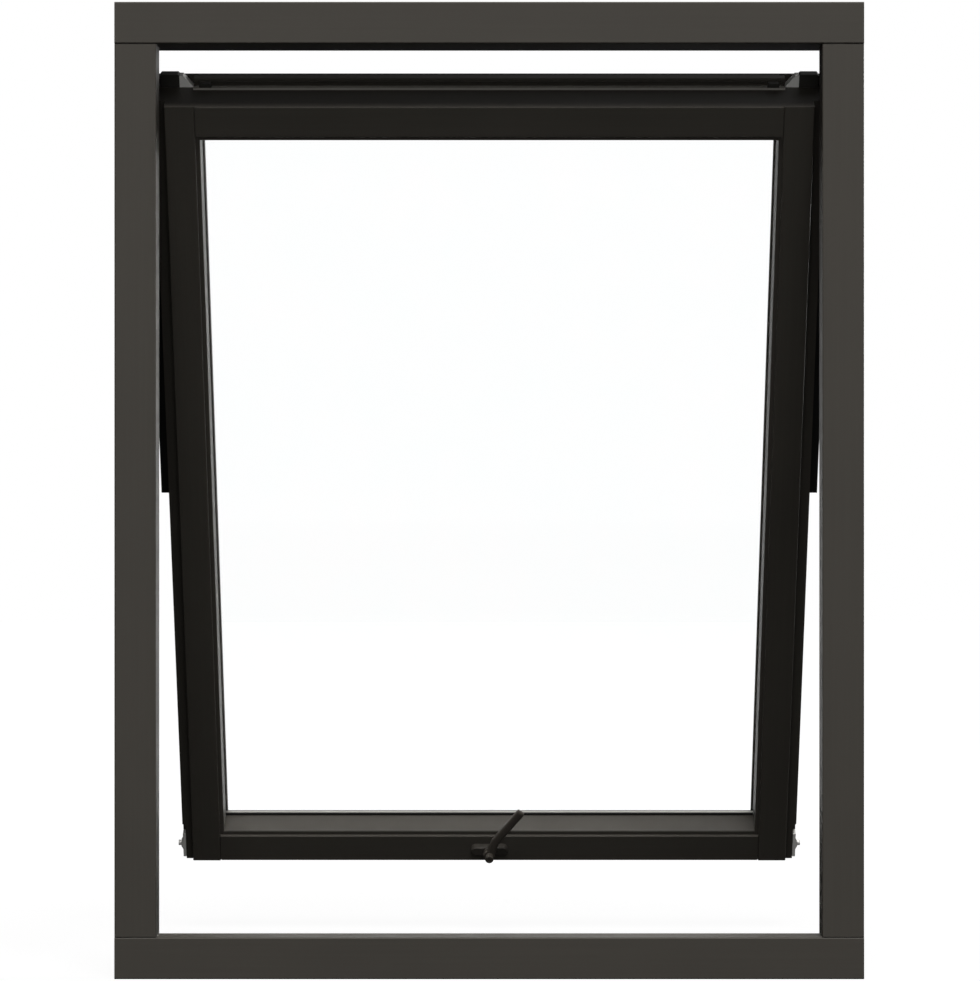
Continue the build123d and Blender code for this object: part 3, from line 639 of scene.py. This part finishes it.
@dataclass
class Screws:
    """Countersunk screws with a six-lobed recess."""

    head: float = 4.0 * MM
    head_height: float = 2.0 * MM
    shank: float = 1.9 * MM
    length: float = 14.0 * MM
    recess: float = 1.7 * MM
    recess_depth: float = 1.3 * MM
    lip: float = 0.15 * MM
    tip: float = 0.01 * MM
    lobe: float = 0.16
    lobes: int = 6
    around: int = 48

    def shape(self) -> np.ndarray:
        """One screw along +X from its flush head.

        Radius and reach are given along the section, and the recess's radius swings with
        the angle, six times round: r (1 + 0.16 cos 6a).

        Returns:
            Points by section and angle.
        """
        angle = np.linspace(0, tau, self.around, endpoint=False)
        deep, rim = self.recess_depth, self.head
        radius = np.array([0.02, 0.8, 1.0, 1.0, 0, 0, 0, 0, 0, 0]) * self.recess
        shank = self.shank * np.array([1.0, 1.0, 0.55])
        radius += np.concatenate([np.zeros(4), [rim * 0.94, rim], shank, [self.tip]])
        ends = self.length * np.array([0.8, 0.95, 1.0])
        reach = np.concatenate([[deep, deep, deep * 0.9, 0, 0, self.lip, self.head_height], ends])
        lobed = np.array([0, 1.0, 1.0, 1.0, 0, 0, 0, 0, 0, 0])[:, None]
        wide = radius[:, None] * (1 + lobed * self.lobe * np.cos(self.lobes * angle))
        along = np.broadcast_to(reach[:, None], wide.shape)
        return np.stack([along, wide * np.cos(angle), wide * np.sin(angle)], axis=-1)

    def set_at(self, name: str, places: np.ndarray, axes: np.ndarray) -> bpy.types.Object:
        """Sets copies of the screw.

        Args:
            name: The piece's name.
            places: Each head's middle, in the row frame.
            axes: Each screw's own three axes, by screw, as rows.

        Returns:
            One object with all the screws.
        """
        one = self.shape()
        rows, columns = one.shape[:2]
        points = np.einsum("rck,skj->srcj", one, axes) + places[:, None, None, :]
        ring = np.array(grid_faces(rows, columns, False, True))
        shifts = np.arange(len(places)) * rows * columns
        every = (ring[None] + shifts[:, None, None]).reshape(-1, 4).tolist()
        caps = end_caps(rows, columns)
        ends = [[point + int(shift) for point in cap] for shift in shifts for cap in caps]
        return solid(name, points, every + ends, 30.0)


@dataclass
class Glazing:
    """Sealed glass unit: panes, spacer, setting blocks and the rubber beads on both sides."""

    place: SashPlace
    half: float = 403.4 * MM
    bottom: float = -1152.5 * MM
    top: float = -40.0 * MM
    inner_face: float = -34.0 * MM
    inner_depth: float = 4.0 * MM
    outer_face: float = -6.0 * MM
    inner_width: float = 14.5 * MM
    outer_depth: float = 3.0 * MM
    outer_width: float = 8.0 * MM
    inner_low: float = 20.3 * MM
    groove: float = 0.7 * MM
    groove_width: float = 0.6 * MM

    def bead(
        self, name: str, face: float, depth: float, width: float, low: float
    ) -> bpy.types.Object:
        """A glazing bead: a section carried round the glass, mitred at four corners.

        The section lies between two planes a depth apart. Its sight edge is a half round
        with a shallow groove beside it. The lowest run has its own width, to show over the rail.

        Args:
            name: The piece's name.
            face: Depth of its indoor plane.
            depth: How thick it is.
            width: How far it covers the glass's edge.
            low: The same for the lowest run.

        Returns:
            The closed ring.
        """
        turn = np.linspace(-pi / 2, pi / 2, 9)
        half = depth / 2
        round_in = width - half + half * np.cos(turn)
        round_deep = half + half * np.sin(turn)
        groove_in = width - half - self.groove_width * np.array([1.0, 2.0, 3.0])
        inset = np.concatenate([[0.0], groove_in[::-1], round_in, groove_in, [0.0]])
        dip = np.array([0.0, self.groove, 0.0])
        deep = np.concatenate([[0.0], dip, round_deep, depth - dip, [depth]])
        side = np.array([-1, 1, 1, -1])[:, None]
        end = np.array([-1, -1, 1, 1])[:, None]
        x = side * (self.half - inset)
        middle, reach = (self.top + self.bottom) / 2, (self.top - self.bottom) / 2
        height = middle + end * (reach - inset * np.where(end < 0, low / width, 1.0))
        points = self.place.row(x, face + np.broadcast_to(deep, x.shape), height)
        return solid(name, points, grid_faces(4, len(inset), True, True), 35.0)

    def build(self, finishes: Finishes) -> None:
        """Dresses the glass and builds the two beads in place of the plain rings."""
        dress(finishes.glass, "pane_inner", "pane_outer")
        dress(finishes.spacer, "glass_spacer")
        dress(finishes.plastic, "setting_blocks")
        inner = (self.inner_face, self.inner_depth, self.inner_width, self.inner_low)
        outer = (self.outer_face, self.outer_depth, self.outer_width, self.outer_width)
        for side, sizes in (("inner", inner), ("outer", outer)):
            bead = self.bead(f"bead_{side}", *sizes)
            settle(bead, "sash", "seal", finishes.rubber, f"glazing_seal_{side}")


@dataclass
class Gaskets:
    """Bulb gaskets: one on the sash's top flange, one on the back of the frame's lip."""

    place: SashPlace
    rise: float = 4.5 * MM
    top_half: float = 398.4 * MM
    top_start: float = -5.0 * MM
    top_width: float = 6.0 * MM
    flange: float = -6.0 * MM
    lip: float = -14.5 * MM
    lip_half: float = 442.0 * MM
    lip_width: float = 6.4 * MM
    lip_sill: float = 52.0 * MM
    lip_top: float = 1233.0 * MM

    def section(self) -> tuple[np.ndarray, np.ndarray]:
        """The gasket's section: a low foot, a sharp lip and a round bulb.

        The rise is the foot plus two bell curves, e to the minus square of the distance.

        Returns:
            The share across the gasket, from 0 to 1, and the rise from its seat.
        """
        across = np.linspace(0, 1, 33)
        bulb = np.exp(-(((across - 0.66) / 0.17) ** 2))
        lip = np.exp(-(((across - 0.16) / 0.07) ** 2))
        rise = self.rise * (0.22 + 0.76 * bulb + 0.4 * lip * (1 - bulb))
        seat = np.zeros(2)
        return np.append(across, [1.0, 0.0]), np.append(np.minimum(rise, self.rise), seat)

    @staticmethod
    def run(name: str, points: np.ndarray) -> bpy.types.Object:
        """Closes a run of sections.

        Args:
            name: The piece's name.
            points: Places by station and section point.

        Returns:
            The run, with a cap at both ends.
        """
        stations, count = points.shape[:2]
        faces = grid_faces(stations, count, False, True)
        return solid(name, points, faces + end_caps(stations, count), 35.0)

    def build(self, finishes: Finishes) -> None:
        """Builds the run over the sash, and the run down both jambs and along the sill."""
        across, rise = self.section()
        even = np.ones_like(across)
        x = self.top_half * np.stack([-even, even])
        height = self.top_start + self.top_width * np.stack([across, across])
        over = self.place.row(x, self.flange - np.stack([rise, rise]), height)
        out = self.lip_half + self.lip_width * across
        low = self.lip_sill - self.lip_width * across
        top = self.lip_top * even
        deep = np.broadcast_to(self.lip + rise, (4, len(rise)))
        side, height = np.stack([-out, -out, out, out]), np.stack([top, low, low, top])
        around = np.stack([side, deep, height], axis=-1)
        settle(self.run("gasket_top", over), "sash", "seal", finishes.gasket, "top_seal")
        settle(self.run("gasket_frame", around), "frame", "seal", finishes.gasket, "side_seal")


@dataclass
class HandleLever:
    """Cranked lever on a round hub with a button in front."""

    place: SashPlace
    spindle_height: float = -1161.0 * MM
    back: float = -96.3 * MM
    front: float = -108.3 * MM
    hub: float = 8.5 * MM
    button: float = 6.0 * MM
    button_length: float = 9.5 * MM
    end_half: float = 6.0 * MM
    thick_half: float = 4.5 * MM
    length: float = 87.0 * MM
    offset: float = 7.0 * MM
    crank: float = 26.0 * MM
    turn: float = radians(37.2)
    round_start: float = 0.955
    square: float = 3.6
    soft: float = 1.2 * MM

    def turned(self, x: np.ndarray, depth: np.ndarray, height: np.ndarray) -> np.ndarray:
        """Turns places about the spindle by the rest angle and carries them to the row frame."""
        across = x * cos(self.turn) + height * sin(self.turn)
        up = height * cos(self.turn) - x * sin(self.turn) + self.spindle_height
        return self.place.row(across, depth, up)

    def grip(self) -> np.ndarray:
        """The lever, upright: a soft section carried up a cranked line.

        The line steps aside by a smooth s-curve, 3s squared less 2s cubed, and runs on
        straight. Each section is a superellipse, |x/a|^n + |y/b|^n = 1, and its half width
        and half depth close in a round end.

        Returns:
            Points by station and angle.
        """
        rounding = 1 - self.round_start
        cap = self.round_start + rounding * np.sin(np.linspace(0, pi / 2, 9))[1:]
        height = np.concatenate([np.linspace(-0.5, self.round_start, 44), cap])
        height = np.where(height < 0, height * self.hub / self.length, height) * self.length
        height = height[:, None]
        step = np.clip(height / self.crank, 0, 1)
        aside = -self.offset * step**2 * (3 - 2 * step)
        wide = self.hub + (self.end_half - self.hub) * np.sqrt(step)
        near_end = np.clip((height / self.length - self.round_start) / rounding, 0, 1)
        closing = np.sqrt(np.maximum(1 - near_end**2, 0.0004))
        angle = np.linspace(0, tau, 40, endpoint=False)[None]
        across, through = (
            np.sign(wave) * np.abs(wave) ** (2 / self.square) for wave in (np.cos(angle), np.sin(angle))
        )
        x = aside + wide * (0.6 + 0.4 * closing) * across
        off = self.thick_half * closing * through
        return self.turned(x, self.front + self.thick_half + off, np.broadcast_to(height, x.shape))

    def boss(self) -> np.ndarray:
        """The hub and its button: a radius by depth, turned round the spindle.

        Returns:
            Points by section and angle.
        """
        tip = self.front - self.button_length
        edge = np.linspace(0, pi / 2, 6)
        soft = self.soft
        radius = np.concatenate([
            [0.02 * MM, self.hub - 0.4 * MM, self.hub, self.hub],
            self.hub - soft + soft * np.cos(edge)[1:],
            [self.button, self.button],
            self.button - soft + soft * np.cos(edge)[1:],
            [0.6 * self.button, 0.55 * self.button, 0.02 * MM],
        ])
        depth = np.concatenate([
            [self.back, self.back, self.back - 0.4 * MM, self.front + soft],
            self.front + soft - soft * np.sin(edge)[1:],
            [self.front, tip + soft],
            tip + soft - soft * np.sin(edge)[1:],
            [tip, tip + 0.5 * MM, tip + 0.5 * MM],
        ])
        angle = np.linspace(0, tau, 48, endpoint=False)[None]
        x, height = radius[:, None] * np.cos(angle), radius[:, None] * np.sin(angle)
        return self.turned(x, np.broadcast_to(depth[:, None], x.shape), height)

    def build(self, finishes: Finishes) -> None:
        """Dresses the rose and builds the lever from its two closed shells."""
        dress(finishes.rose, "handle_rose")
        dress(finishes.coat, "handle_lever")
        points: list[np.ndarray] = []
        faces: list[list[int]] = []
        shift = 0
        for shell in (self.grip(), self.boss()):
            rows, columns = shell.shape[:2]
            every = grid_faces(rows, columns, False, True) + end_caps(rows, columns)
            faces += [[point + shift for point in face] for face in every]
            points.append(shell.reshape(-1, 3))
            shift += rows * columns
        piece = solid("lever", np.concatenate(points), faces, 50.0)
        settle(piece, "handle", "handle_coat", finishes.coat, "handle_lever")


@dataclass
class FixedFrame:
    """Head, sill, jambs, their outdoor covers, guide rails, arm pivots and keeps."""

    screws: Screws = field(default_factory=Screws)
    rail_back: float = 475.9 * MM
    rail_y: float = 51.5 * MM
    rail_heights: tuple[float, ...] = (833.196 * MM, 1042.45 * MM, 1251.704 * MM)
    keep_x: float = 466.4 * MM
    keep_y: float = 5.0 * MM
    keep_heights: tuple[float, ...] = (80.25 * MM, 92.25 * MM)

    def dress(self, finishes: Finishes) -> None:
        """Paints the timber along each member, coats the covers and finishes the fittings."""
        dress(finishes.frame_across, "frame_head", "frame_sill")
        dress(finishes.cover, "head_cladding", "sill_cladding")
        for side in SIDES:
            dress(finishes.frame_upright, f"frame_jamb_{side}")
            dress(finishes.cover, f"jamb_cladding_{side}")
            dress(finishes.rail, f"guide_rail_{side}")
            dress(finishes.zinc, f"arm_pivot_{side}", f"keep_{side}")
        dress(finishes.steel, "rail_screws", "keep_screws")

    def build(self, finishes: Finishes) -> None:
        """Dresses the frame and builds the rails' and the keeps' screws, with recessed heads."""
        self.dress(finishes)
        side, height = both_sides(self.rail_heights)
        places = np.stack([side * self.rail_back, np.full(side.shape, self.rail_y), height], axis=-1)
        rails = self.screws.set_at("rail_screw_set", places, turned_out(side))
        side, height = both_sides(self.keep_heights)
        places = np.stack([side * self.keep_x, np.full(side.shape, self.keep_y), height], axis=-1)
        quarter = np.array([[0.0, 1.0, 0.0], [-1.0, 0.0, 0.0], [0.0, 0.0, 1.0]])
        axes = np.broadcast_to(quarter, (len(side), 3, 3))
        keeps = self.screws.set_at("keep_screw_set", places, axes)
        settle(rails, "frame", "screw_steel", finishes.steel, "rail_screws")
        settle(keeps, "frame", "screw_steel", finishes.steel, "keep_screws")


@dataclass
class Sash:
    """The sash's timber and its outdoor covers."""

    stiles: tuple[str, ...] = ("sash_stile_left", "sash_stile_right")
    rails: tuple[str, ...] = ("sash_top_rail", "sash_bottom_rail")
    covers: tuple[str, ...] = tuple(f"sash_cladding_{side}" for side in ("top", "bottom", *SIDES))

    def build(self, finishes: Finishes) -> None:
        """Paints the timber along each member and coats the covers."""
        dress(finishes.sash_upright, *self.stiles)
        dress(finishes.sash_across, *self.rails)
        dress(finishes.cover, *self.covers)


@dataclass
class TopFittings:
    """The strip along the top of the sash, its stops, and the bearings and brackets at its ends."""

    strip: str = "top_strip"
    stops: str = "strip_stops"

    def build(self, finishes: Finishes) -> None:
        """Finishes the strip, the stops and both ends."""
        # The strip's pale grey is a painted reflection.
        dress(finishes.strip, self.strip)
        dress(finishes.plastic, self.stops)
        for side in SIDES:
            dress(finishes.plastic, f"bearing_block_{side}")
            # Corner brackets: pale plating with a painted reflection.
            dress(finishes.bright, f"corner_bracket_{side}")


@dataclass
class LockDrive:
    """Gearbox, spindle, rods, corner drives and cams of the lock."""

    inside: tuple[str, ...] = ("drive_gearbox", "handle_spindle", "corner_drives")

    def build(self, finishes: Finishes) -> None:
        """Plates the hidden drive and the cams."""
        dress(finishes.zinc, *self.inside)
        for side in SIDES:
            dress(finishes.zinc, f"drive_rod_{side}")
            # Cams: pale plating with a painted reflection.
            dress(finishes.bright, f"lock_cam_{side}")


@dataclass
class HingeGear:
    """Bars on the sides of the sash with their screws, arms, and the shoes in the rails."""

    place: SashPlace
    screws: Screws = field(default_factory=lambda: Screws(length=30.0 * MM))
    face: float = 464.4 * MM
    heights: tuple[float, ...] = (-62.0 * MM, -279.0 * MM, -434.0 * MM, -589.0 * MM)

    def build(self, finishes: Finishes) -> None:
        """Dresses the gear and builds the bars' screws, with recessed heads."""
        for side in SIDES:
            dress(finishes.black_steel, f"hinge_arm_{side}", f"hinge_bar_{side}")
            dress(finishes.plastic, f"guide_shoe_{side}")
        dress(finishes.steel, "hinge_bar_screws")
        sign, height = both_sides(self.heights)
        places = self.place.row(sign * self.face, np.zeros(sign.shape), height)
        piece = self.screws.set_at("bar_screw_set", places, turned_out(-sign))
        settle(piece, "sash", "screw_steel", finishes.steel, "hinge_bar_screws")


@dataclass(frozen=True)
class Lamp:
    """A square soft lamp: where it hangs, its aim, its side in metres and its watts."""

    name: str
    place: Point
    aim: Point
    size: float
    power: float

    def hang(self) -> None:
        """Hangs the lamp and turns it to its aim."""
        data = bpy.data.lights.new(self.name, "AREA")
        data.size, data.energy = self.size, self.power
        lamp = bpy.data.objects.new(self.name, data)
        bpy.context.scene.collection.objects.link(lamp)
        lamp.location = self.place
        look = np.array(self.aim) - np.array(self.place)
        tip = np.arctan2(np.hypot(look[0], look[1]), -look[2])
        lamp.rotation_euler = (float(tip), 0.0, float(np.arctan2(look[1], look[0]) - pi / 2))


@dataclass
class Studio:
    """Floor, lamps, world and camera."""

    floor_radius: float = 14.0
    floor_bounce: float = 0.04
    shaded_near_glow: float = 0.95
    shadow_reach: tuple[float, float] = (0.9, 2.2)
    ambient: float = 0.06
    mirrored: float = 0.12
    panel_sides: tuple[float, ...] = (-0.09, 0.12, 0.03, 0.65)
    panel_foot: tuple[float, ...] = (-0.112, -0.09, 0.0, 1.0)
    panel_turn: tuple[float, float] = (0.0, 0.7)
    rings: int = 24
    spokes: int = 96
    lamps: tuple[Lamp, ...] = (
        Lamp("front_soft", (0.8, -5.4, 10.5), (0.0, 0.0, 0.6), 4.5, 1850.0),
        Lamp("room_fill", (0.0, -8.5, 1.6), (0.0, 0.0, 0.7), 4.0, 140.0),
        Lamp("outdoor_soft", (3.0, 2.6, 1.6), (-0.3, 0.0, 0.6), 2.0, 120.0),
    )
    camera_place: Point = (0.001, -5.2225, 0.644)
    lens: float = 143.6
    film: float = 36.0

    def floor(self) -> None:
        """A pale disc: rings of points by radius and angle. Its glow dims near the window, a painted
        shade, and it keeps a faint cast shadow.
        """
        radius = self.floor_radius * np.linspace(0.001, 1, self.rings)[:, None] ** 2
        angle = np.linspace(0, tau, self.spokes, endpoint=False)[None]
        flat = np.zeros((self.rings, self.spokes))
        points = np.stack([radius * np.cos(angle), radius * np.sin(angle), flat], axis=-1)
        faces = grid_faces(self.rings, self.spokes, False, True) + [list(range(self.spokes))]
        mesh = bpy.data.meshes.new("floor")
        mesh.from_pydata(points.reshape(-1, 3).tolist(), [], faces)
        disc = bpy.data.objects.new("floor", mesh)
        bpy.context.scene.collection.objects.link(disc)
        material = bpy.data.materials.new("pale_floor")
        material.use_nodes = True
        tree = Tree(material.node_tree)
        tree.tree.nodes.clear()
        path = tree.add("LightPath")
        place = tree.add("TexCoord").outputs["Object"]
        seen = tree.math("MAXIMUM", path.outputs["Is Camera Ray"], path.outputs["Is Transmission Ray"])
        away = tree.add("VectorMath", {0: place}, operation="LENGTH").outputs["Value"]
        # Dimmer glow within the shadow reach round the window: painted shade.
        level = tree.spread(away, *self.shadow_reach, self.shaded_near_glow, 1.0)
        shine = tree.math("MULTIPLY", seen, level)
        glow = tree.add("Emission", {"Color": (1, 1, 1, 1), "Strength": shine})
        bounce = (self.floor_bounce * 0.95, self.floor_bounce * 1.05)
        drift = tree.spread(tree.noise(place, 1.5, 3.0), 0.3, 0.7, *bounce)
        matt = tree.add("BsdfDiffuse", {"Color": drift})
        both = tree.add("AddShader", {0: glow.outputs[0], 1: matt.outputs[0]})
        end = tree.add("OutputMaterial")
        tree.join(both.outputs[0], end.inputs["Surface"])
        mesh.materials.append(material)

    def world(self) -> None:
        """White to the camera and through glass, a soft sky to everything else."""
        sky = bpy.data.worlds.new("studio")
        sky.use_nodes = True
        bpy.context.scene.world = sky
        tree = Tree(sky.node_tree)
        tree.tree.nodes.clear()
        path = tree.add("LightPath")
        way = tree.add("SeparateXYZ", {0: tree.add("TexCoord").outputs["Generated"]})
        bright_side = tree.spread(way.outputs["X"], *self.panel_sides)
        above = tree.spread(way.outputs["Z"], *self.panel_foot)
        seen = tree.math("MAXIMUM", path.outputs["Is Camera Ray"], path.outputs["Is Transmission Ray"])
        lit = tree.math("MULTIPLY", above, bright_side)
        panel = tree.spread(way.outputs["Y"], *self.panel_turn, self.mirrored, lit)
        mirrored = tree.math("MULTIPLY", path.outputs["Is Glossy Ray"], panel)
        plain = tree.math("SUBTRACT", 1.0, path.outputs["Is Glossy Ray"])
        soft = tree.math("MULTIPLY", plain, self.ambient)
        level = tree.math("MAXIMUM", tree.math("MAXIMUM", seen, mirrored), soft)
        light = tree.add("Background", {"Color": (1, 1, 1, 1), "Strength": level})
        end = tree.add("OutputWorld")
        tree.join(light.outputs[0], end.inputs["Surface"])

    def camera(self) -> None:
        """The photograph's own view, level and square on."""
        data = bpy.data.cameras.new("view")
        data.lens, data.sensor_width, data.sensor_fit = self.lens, self.film, "HORIZONTAL"
        camera = bpy.data.objects.new("view", data)
        bpy.context.scene.collection.objects.link(camera)
        camera.location = self.camera_place
        camera.rotation_euler = (pi / 2, 0.0, 0.0)
        bpy.context.scene.camera = camera

    def build(self) -> None:
        """Sets the stage."""
        self.floor()
        self.world()
        for lamp in self.lamps:
            lamp.hang()
        self.camera()
        bpy.context.scene.view_settings.view_transform = "Standard"


def main() -> None:
    """Builds and dresses the window, sub-assembly by sub-assembly, and sets the stage."""
    logging.basicConfig(level=logging.INFO, format="%(name)s: %(message)s")
    place = SashPlace()
    finishes = Finishes(place.lean)
    assemblies = (
        FixedFrame(), Sash(), Glazing(place), Gaskets(place), TopFittings(),
        HingeGear(place), LockDrive(), HandleLever(place),
    )
    for assembly in assemblies:
        assembly.build(finishes)
    Studio().build()


if __name__ == "__main__":
    main()
